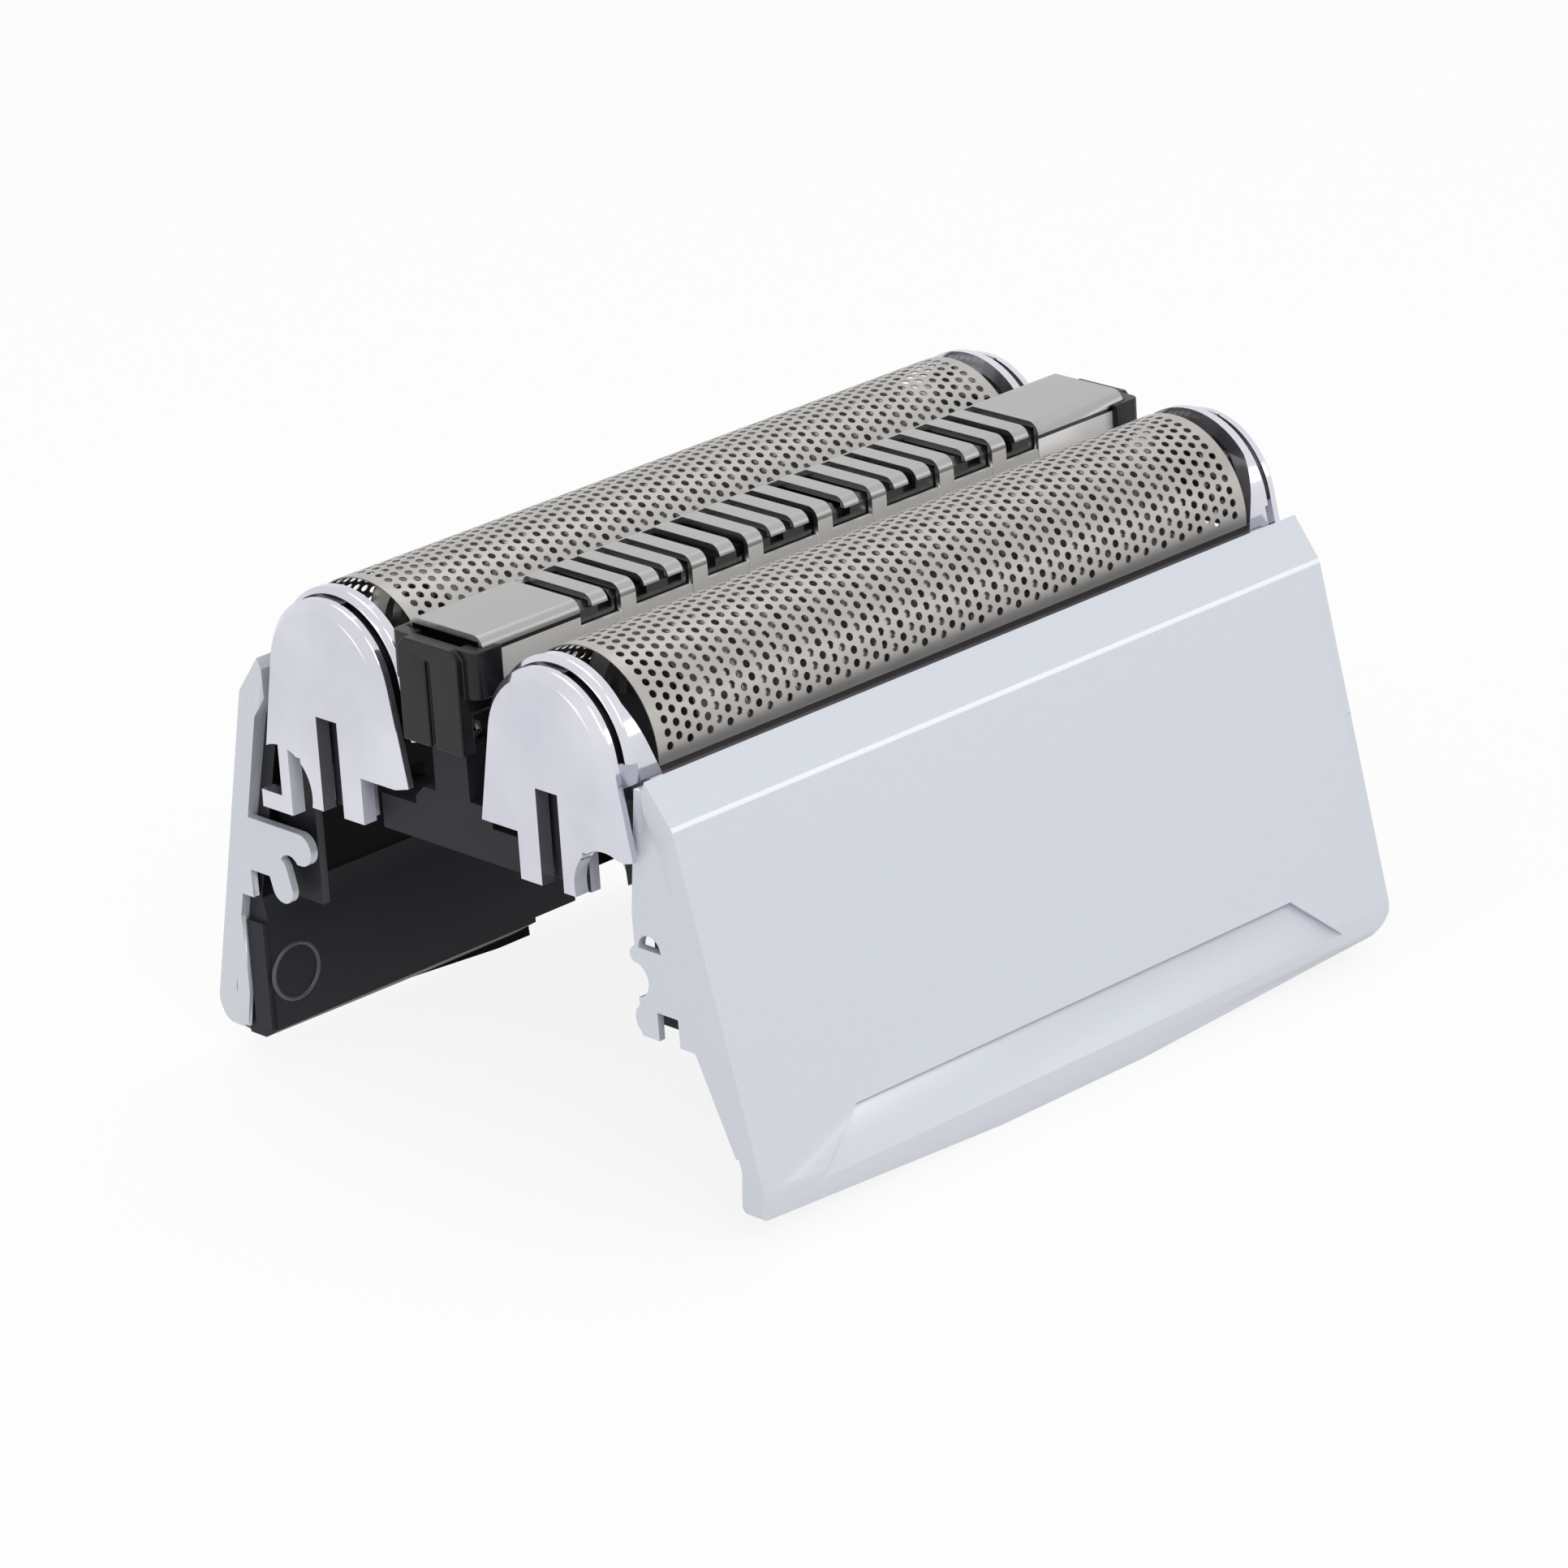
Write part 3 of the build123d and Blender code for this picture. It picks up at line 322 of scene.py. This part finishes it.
def ridge(middle, normal):
    """The narrow slope along the top of a panel's face, which gets a painted highlight."""
    tilted = RIDGE_TILT[0] < normal.z < RIDGE_TILT[1] and abs(normal.x) < EDGEWISE
    return tilted and outward(middle, normal) > 0 and middle.z > panel_z[1] - RIDGE_REACH


def inner_lip(middle, normal):
    """The inner wall near a panel's lower edge, between its ends."""
    low = middle.z < panel_z[0] + LIP_HEIGHT and abs(middle.y) > LIP_Y and abs(middle.x) < lip_x
    return low and outward(middle, normal) < 0 and abs(normal.x) < EDGEWISE


# Caps: the groove between an end plate and its hoop gets painted shade, and the outer sides of the legs are
# satin
CAP_EDGE = 0.07
CAP_CHAMFER_EDGE = 0.18
CHAMFER_TURN = (math.radians(30), math.radians(60))
CAP_PLATE = 0.8
CAP_GROOVE = 0.35
GROOVE_SLACK = 0.02
LEG_DEPTH = 1.5
SLOT_HALF = 1.3
cap_x = span("front_foil_frame", 0)[1]
foil_y = span("front_foil", 1)
foil_z = span("front_foil", 2)
cartridge_y = -sum(foil_y) / 2


def chamfer_edge(edge):
    """The borders of a chamfer, where two faces meet at about 45 degrees."""
    return CHAMFER_TURN[0] < edge.calc_face_angle() < CHAMFER_TURN[1]


def groove(middle, normal):
    """The floor and the inner wall of the groove, which get painted shade."""
    depth = cap_x - CAP_PLATE - abs(middle.x)
    inside = -GROOVE_SLACK < depth < CAP_GROOVE + GROOVE_SLACK
    return inside and (abs(normal.x) < EDGEWISE or normal.x * middle.x > 0)


def leg_side(middle, normal):
    """The sides of the legs and guides below the foil, apart from the slot between the legs."""
    low = middle.z < foil_z[0] and abs(middle.x) > cap_x - LEG_DEPTH
    return low and abs(normal.y) > FACING and abs(abs(middle.y) - cartridge_y) > SLOT_HALF


for side in ("front", "rear"):
    panel_piece = soften(side + "_panel", PANEL_EDGE, broad=panel_end_edge, broad_width=PANEL_END_EDGE)
    split(panel_piece, 0, (-lip_x, lip_x))
    # painted highlight on the ridge
    repaint(panel_piece, ridge_highlight_mat, ridge)
    repaint(panel_piece, inside_mat, inner_lip)
    cap_piece = soften(side + "_foil_frame", CAP_EDGE, broad=chamfer_edge, broad_width=CAP_CHAMFER_EDGE)
    # painted shade in the groove
    repaint(cap_piece, crease_shade_mat, groove)
    repaint(cap_piece, satin_mat, leg_side)

# Trimmer carrier
CARRIER_EDGE = 0.15
soften("trimmer_carrier", CARRIER_EDGE)

# Comb: painted light on the front and on a higher lower rail, and a line of painted shade under the fold at
# each end
COMB_EDGE = 0.05
COMB_WALL = 0.3
COMB_SHOULDER = 0.65
COMB_MARGIN = 6.25
RAIL_HEIGHT = 1.2
RAIL_INSET = 0.03
RAIL_SLACK = 0.01
# Lower and upper border of the painted shade, below the comb's top
SHADE_DROP = (0.85, 0.65)
comb_x, comb_y, comb_z = (span("trimmer_comb", axis) for axis in range(3))
slotted_x = comb_x[1] - COMB_MARGIN
rail_z = comb_z[0] + RAIL_HEIGHT
shade_z = [comb_z[1] - drop for drop in SHADE_DROP]


def comb_front(middle, normal):
    """The front wall below the fold, and the top of its rail, which get painted light."""
    wall = normal.y < -FACING and middle.z < shade_z[1]
    rail_top = normal.z > FACING and middle.z < rail_z + RAIL_SLACK
    return middle.y < comb_y[0] + COMB_SHOULDER and (wall or rail_top)


def comb_fold(middle, normal):
    """The band under the fold at both ends of the front, which gets painted shade."""
    front = middle.y < comb_y[0] + COMB_SHOULDER and abs(middle.x) > slotted_x
    return front and shade_z[0] < middle.z < shade_z[1]


comb_piece = soften("trimmer_comb", COMB_EDGE, segments=2)
rail_x = slotted_x + RAIL_INSET
rail_low = (-rail_x, comb_y[0] + RAIL_INSET, comb_z[0] + RAIL_INSET)
rail_high = (rail_x, comb_y[0] + COMB_WALL - RAIL_INSET, rail_z)
join_bar(comb_piece, rail_low, rail_high)
split(comb_piece, 0, (-slotted_x, slotted_x))
split(comb_piece, 2, shade_z)
# painted light on the front and rail, then painted shade under the fold
repaint(comb_piece, comb_light_mat, comb_front)
repaint(comb_piece, shade_mat, comb_fold)

# Frame: the liners' upper walls lie deep inside and get painted shade, and the end plates get painted light
FRAME_EDGE = 0.12
LEDGE_Z = 8.9
WALL_Y = 11.0
END_INSET = 1.95
PLATE_INSET = 1.25
PLATE_TOP_Z = 16.0
frame_x = span("frame", 0)[1]
end_x = frame_x - END_INSET
plate_x = frame_x - PLATE_INSET


def deep_wall(middle, normal):
    """The liners' inner walls above their ledge, between the end plates, which get painted shade."""
    inside = middle.z > LEDGE_Z and abs(middle.y) > WALL_Y and abs(middle.x) < end_x
    return inside and outward(middle, normal) < 0


def end_plate(middle, normal):
    """The end walls beside the clip ribs, which get painted light."""
    near_end = end_x < abs(middle.x) < plate_x and abs(middle.y) > WALL_Y
    return near_end and LEDGE_Z < middle.z < PLATE_TOP_Z


frame_piece = soften("frame", FRAME_EDGE, segments=2)
# painted shade on the deep walls and painted light on the end plates
repaint(frame_piece, inside_mat, deep_wall)
repaint(frame_piece, plate_light_mat, end_plate)

# Foils: a thin arched sheet with a staggered field of small holes
SHEET = 0.06
# Spacing of the holes along the head and along the arch, and their radius
HOLE_X = 0.649
HOLE_S = 0.645
HOLE_R = 0.215
# Least plain border of the field of holes, at the sheet's ends and along its sides
END_MARGIN = 0.4
SIDE_MARGIN = 1.75
# Width of the painted-shade rims along the sheet's sides, and the gap left at its ends
RIM = 1.5
END_GAP = 0.03
FOIL_TURN = math.radians(40)
# Places that agree to this many digits share a vertex
PLACE_DIGITS = 4
foil_x = span("front_foil", 0)[1]
arch_r = (foil_y[1] - foil_y[0]) / 2
arch_z = foil_z[1] - arch_r
foil_side = arch_z - foil_z[0]
foil_width = 2 * foil_side + math.pi * arch_r
columns = int(2 * (foil_x - END_MARGIN) / HOLE_X)
rows = int((foil_width - 2 * SIDE_MARGIN) / HOLE_S)


def arch_point(s, radius):
    """Point (u, z) at length s along the foil's outer profile, on a profile of the given radius."""
    arc = math.pi * arch_r
    if s < foil_side:
        return -radius, foil_z[0] + s
    if s > foil_side + arc:
        return radius, arch_z - (s - foil_side - arc)
    angle = math.pi - (s - foil_side) / arch_r
    return radius * math.cos(angle), arch_z + radius * math.sin(angle)


def foil_mesh(name, sign):
    """The perforated sheet for one side of the head, laid out by x and by the length s along its profile."""
    bm = bmesh.new()
    field_s = (foil_width - rows * HOLE_S) / 2
    field_x = columns * HOLE_X / 2
    steps = [field_s + i * HOLE_S / 2 for i in range(2 * rows + 1)]
    border = [0.0, RIM]
    levels = border + steps + [foil_width - s for s in reversed(border)]
    first = len(border)
    last = len(levels) - 1
    found = {}

    def vert(x, s, layer):
        """The vertex at a place, on the outer layer 0 or the inner layer 1."""
        key = (round(x, PLACE_DIGITS), round(s, PLACE_DIGITS), layer)
        if key not in found:
            u, z = arch_point(s, arch_r - layer * SHEET)
            found[key] = bm.verts.new((sign * x * MM, sign * (u - cartridge_y) * MM, z * MM))
        return found[key]

    def patch(ring):
        """One face on the outer side and its twin on the inner side."""
        bm.faces.new([vert(x, s, 0) for x, s in ring])
        bm.faces.new([vert(x, s, 1) for x, s in reversed(ring)])

    for c in range(columns):
        odd = c % 2
        x0 = -field_x + c * HOLE_X
        x1 = x0 + HOLE_X
        xm = (x0 + x1) / 2
        plain = [*range(first + odd), *range(last - first - odd, last)]
        for k in plain:
            low = [(x, levels[k]) for x in (x0, xm, x1)]
            high = [(x, levels[k + 1]) for x in (x1, xm, x0)]
            patch(low + high)
        for r in range(rows - odd):
            s0, sm, s1 = levels[first + odd + 2 * r:][:3]
            rim = [(x0, s0), (xm, s0), (x1, s0), (x1, sm), (x1, s1), (xm, s1), (x0, s1), (x0, sm)]
            hole = []
            for x, s in rim:
                angle = math.atan2(s - sm, x - xm)
                hole.append((xm + HOLE_R * math.cos(angle), sm + HOLE_R * math.sin(angle)))
            for i in range(len(rim)):
                j = (i + 1) % len(rim)
                patch([rim[i], rim[j], hole[j], hole[i]])
                bm.faces.new([vert(*hole[i], 0), vert(*hole[j], 0), vert(*hole[j], 1), vert(*hole[i], 1)])
    for end in (-1, 1):
        a = end * field_x
        b = end * (foil_x - END_GAP)
        for s0, s1 in zip(levels, levels[1:]):
            ring = [(a, s0), (b, s0), (b, s1), (a, s1)]
            patch(ring if end > 0 else ring[::-1])
    borders = [edge for edge in bm.edges if len(edge.link_faces) == 1]
    bmesh.ops.bridge_loops(bm, edges=borders)
    bmesh.ops.recalc_face_normals(bm, faces=bm.faces)
    smooth(bm)
    mesh = new_mesh(name, bm)
    mesh.set_sharp_from_angle(angle=FOIL_TURN)
    return mesh


def foil_painted_shade(middle, normal):
    """The sheet's inner side, and its lower rims in the gaps beside the panel and the comb, which get painted
    shade.
    """
    from_axis = outward(middle, normal) * (abs(middle.y) - cartridge_y)
    from_axis += normal.z * max(middle.z - arch_z, 0)
    return middle.z < foil_z[0] + RIM or from_axis < -arch_r / 2


for side, sign in (("front", 1), ("rear", -1)):
    foil_piece = add_piece(side + "_foil_fine", foil_mesh(side + "_foil_fine", sign), side + "_foil")
    # painted shade on the inner side and the lower rims
    repaint(foil_piece, foil_shade_mat, foil_painted_shade)

# Lamellae: the full row of thin arches under each foil
BLADE_PITCH = 1.075
BLADE_THICK = 0.5
BLADE_RIM = 1.1
BLADE_LIFT = 0.1
BLADE_STEPS = 20
blade_x = span("front_blades", 0)[1]
blade_z = span("front_blades", 2)
blade_r = blade_z[1] - arch_z + BLADE_LIFT


def lamella_profile(radius):
    """Points (u, z) from foot to foot over an arch of the given radius."""
    turns = [math.pi * i / BLADE_STEPS for i in range(BLADE_STEPS + 1)]
    arch = [(-radius * math.cos(turn), arch_z + radius * math.sin(turn)) for turn in turns]
    return [(-radius, blade_z[0]), *arch, (radius, blade_z[0])]


def lamella_mesh(name, sign):
    """The row of lamellae for one side of the head."""
    bm = bmesh.new()
    count = 2 * int((blade_x - BLADE_THICK / 2) / BLADE_PITCH) + 1
    profiles = [lamella_profile(radius) for radius in (blade_r, blade_r - BLADE_RIM)]
    for i in range(count):
        middle_x = (i - (count - 1) / 2) * BLADE_PITCH
        rings = []
        for x in (middle_x - BLADE_THICK / 2, middle_x + BLADE_THICK / 2):
            for profile in profiles:
                places = [Vector((sign * x, sign * (u - cartridge_y), z)) * MM for u, z in profile]
                rings.append([bm.verts.new(place) for place in places])
        near_out, near_in, far_out, far_in = rings
        for a, b in ((near_out, near_in), (near_in, far_in), (far_in, far_out), (far_out, near_out)):
            for k in range(len(a) - 1):
                bm.faces.new((a[k], a[k + 1], b[k + 1], b[k]))
        bm.faces.new((near_out[0], near_in[0], far_in[0], far_out[0]))
        bm.faces.new((near_out[-1], far_out[-1], far_in[-1], near_in[-1]))
    bmesh.ops.recalc_face_normals(bm, faces=bm.faces)
    return new_mesh(name, bm)


for side, sign in (("front", 1), ("rear", -1)):
    add_piece(side + "_blades_fine", lamella_mesh(side + "_blades_fine", sign), side + "_blades")

# Springs: each deforming node gets its own copy of its mesh as a piece that moves with its body
for joint in frame["record"]["behaviour"]["joints"]:
    for soft in joint.get("deforming_nodes", []):
        name = soft["node"]
        mesh = nodes[name].data.copy()
        mesh.materials.clear()
        spring = add_piece(name + "_fine", mesh, name)
        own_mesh(spring)

# Ring mark: a raised ring on the inner face of each liner's rail, in a lighter grey as a painted highlight
RING_INSET = 2.15
RING_Y = 15.5
RING_Z = 4.5
RING_R = 1.45
RING_STEPS = 48
WIRE_R = 0.12
WIRE_STEPS = 8
ring_x = frame_x - RING_INSET


def ring_mesh(name, x, y):
    """A ring of round wire about an axis along Y, half sunk in the face."""
    bm = bmesh.new()
    loops = []
    for i in range(RING_STEPS):
        turn = 2 * math.pi * i / RING_STEPS
        loop = []
        for k in range(WIRE_STEPS):
            tilt = 2 * math.pi * k / WIRE_STEPS
            reach = RING_R + WIRE_R * math.cos(tilt)
            lift = WIRE_R * math.sin(tilt)
            place = Vector((x + reach * math.cos(turn), y + lift, RING_Z + reach * math.sin(turn)))
            loop.append(bm.verts.new(place * MM))
        loops.append(loop)
    for a, b in zip(loops, loops[1:] + loops[:1]):
        for k in range(WIRE_STEPS):
            following = (k + 1) % WIRE_STEPS
            bm.faces.new((a[k], a[following], b[following], b[k]))
    bmesh.ops.recalc_face_normals(bm, faces=bm.faces)
    smooth(bm)
    mesh = new_mesh(name, bm)
    mesh.materials.append(ring_highlight_mat)
    return mesh


for name, sign in (("front_ring_mark", 1), ("rear_ring_mark", -1)):
    mark = bpy.data.objects.new(name, ring_mesh(name, sign * ring_x, -sign * RING_Y))
    scene.collection.objects.link(mark)
    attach(mark, body_of["frame"])

# Camera, at the photograph's viewing angle, with its focal length and the shift of its axis in pixels
CAM_AZIMUTH = math.radians(-43.454)
CAM_ELEVATION = math.radians(21.518)
CAM_ROLL = math.radians(-3.639)
CAM_DISTANCE = 361.258
CAM_TARGET_Z = 11.2
PHOTO_PIXELS = 1932
FOCAL_PIXELS = 8967.195
SHIFT_X_PIXELS = -15.013
SHIFT_Y_PIXELS = 11.463
SENSOR = 36
CLIP_NEAR = 10
CLIP_FAR = 20000
flat_back = Vector((math.sin(CAM_AZIMUTH), -math.cos(CAM_AZIMUTH), 0))
flat_right = Vector((math.cos(CAM_AZIMUTH), math.sin(CAM_AZIMUTH), 0))
back = math.cos(CAM_ELEVATION) * flat_back + math.sin(CAM_ELEVATION) * Vector((0, 0, 1))
flat_up = back.cross(flat_right)
right = math.cos(CAM_ROLL) * flat_right + math.sin(CAM_ROLL) * flat_up
up = math.cos(CAM_ROLL) * flat_up - math.sin(CAM_ROLL) * flat_right
place = (Vector((0, 0, CAM_TARGET_Z)) + back * CAM_DISTANCE) * MM
camera = bpy.data.objects.new("camera", bpy.data.cameras.new("camera"))
camera.matrix_world = Matrix((
    (right.x, up.x, back.x, place.x), (right.y, up.y, back.y, place.y),
    (right.z, up.z, back.z, place.z), (0, 0, 0, 1),
))
camera.data.sensor_width = SENSOR
camera.data.lens = SENSOR * FOCAL_PIXELS / PHOTO_PIXELS
camera.data.shift_x = SHIFT_X_PIXELS / PHOTO_PIXELS
camera.data.shift_y = SHIFT_Y_PIXELS / PHOTO_PIXELS
camera.data.clip_start = CLIP_NEAR * MM
camera.data.clip_end = CLIP_FAR * MM
scene.collection.objects.link(camera)
scene.camera = camera

# Stage, in metres: a white floor that keeps a soft shadow, a white surround, and soft lamps
WHITE = (1, 1, 1, 1)
FLOOR_COLOR = (0.9, 0.9, 0.9, 1)
FLOOR_ROUGHNESS = 0.9
FLOOR_GLOW_SHARE = 0.88
FLOOR_HALF = 3
FLOOR_DROP = 0.0001
WORLD_COLOR = (0.93, 0.94, 1.0, 1)
WORLD_LEVEL = 0.5
HEAD_MIDDLE = (0, 0, 0.012)
HEAD_UPPER = (0, 0, 0.015)


def maximum(tree, first, second):
    """The larger of two values in a node tree."""
    node = tree.nodes.new("ShaderNodeMath")
    node.operation = "MAXIMUM"
    tree.links.new(first, node.inputs[0])
    tree.links.new(second, node.inputs[1])
    return node.outputs[0]


def seen_directly(tree):
    """1 on rays that look straight, in a mirror or through glass, and 0 on rays that light the object."""
    path = tree.nodes.new("ShaderNodeLightPath")
    straight = maximum(tree, path.outputs["Is Camera Ray"], path.outputs["Is Glossy Ray"])
    return maximum(tree, straight, path.outputs["Is Transmission Ray"])


def mixed(tree, factor, first, second):
    """A mix of two shaders, which is the second one where the factor is 1."""
    mix = tree.nodes.new("ShaderNodeMixShader")
    tree.links.new(factor, mix.inputs[0])
    tree.links.new(first.outputs[0], mix.inputs[1])
    tree.links.new(second.outputs[0], mix.inputs[2])
    return mix


floor_mat = bpy.data.materials.new("floor_white")
floor_mat.use_nodes = True
tree = floor_mat.node_tree
lit = tree.nodes["Principled BSDF"]
lit.inputs["Base Color"].default_value = FLOOR_COLOR
lit.inputs["Roughness"].default_value = FLOOR_ROUGHNESS
glow = tree.nodes.new("ShaderNodeEmission")
glow.inputs["Color"].default_value = WHITE
share = tree.nodes.new("ShaderNodeMath")
share.operation = "MULTIPLY"
share.inputs[1].default_value = FLOOR_GLOW_SHARE
tree.links.new(seen_directly(tree), share.inputs[0])
above = mixed(tree, share.outputs[0], lit, glow)
# From below the floor is clear, so that the underside can be seen
facing = tree.nodes.new("ShaderNodeNewGeometry")
clear = tree.nodes.new("ShaderNodeBsdfTransparent")
both_sides = mixed(tree, facing.outputs["Backfacing"], above, clear)
tree.links.new(both_sides.outputs[0], tree.nodes["Material Output"].inputs["Surface"])
corners = [(x * FLOOR_HALF, y * FLOOR_HALF, 0) for x, y in ((-1, -1), (1, -1), (1, 1), (-1, 1))]
floor_mesh = bpy.data.meshes.new("floor")
floor_mesh.from_pydata(corners, [], [(0, 1, 2, 3)])
floor_mesh.materials.append(floor_mat)
floor = bpy.data.objects.new("floor", floor_mesh)
floor.location.z = -FLOOR_DROP
scene.collection.objects.link(floor)

world = bpy.data.worlds.new("studio")
world.use_nodes = True
scene.world = world
tree = world.node_tree
light = tree.nodes["Background"]
light.inputs["Color"].default_value = WORLD_COLOR
light.inputs["Strength"].default_value = WORLD_LEVEL
backdrop = tree.nodes.new("ShaderNodeBackground")
backdrop.inputs["Color"].default_value = WHITE
surround = mixed(tree, seen_directly(tree), light, backdrop)
tree.links.new(surround.outputs[0], tree.nodes["World Output"].inputs["Surface"])


def lamp(name, place, aim, size, power):
    """A square soft lamp at a place, aimed at a point."""
    source = bpy.data.lights.new(name, "AREA")
    source.size = size
    source.energy = power
    holder = bpy.data.objects.new(name, source)
    holder.location = place
    holder.rotation_euler = (Vector(aim) - Vector(place)).to_track_quat("-Z", "Y").to_euler()
    scene.collection.objects.link(holder)


lamp("key", place=(-0.25, -0.45, 0.46), aim=HEAD_MIDDLE, size=0.35, power=1.6)
lamp("top", place=(0.1, 0.1, 0.7), aim=HEAD_MIDDLE, size=0.5, power=1.5)
lamp("side", place=(-0.7, 0.1, 0.3), aim=HEAD_MIDDLE, size=0.4, power=0.45)
lamp("rim", place=(0.4, -0.44, 0.2), aim=HEAD_UPPER, size=0.14, power=0.08)
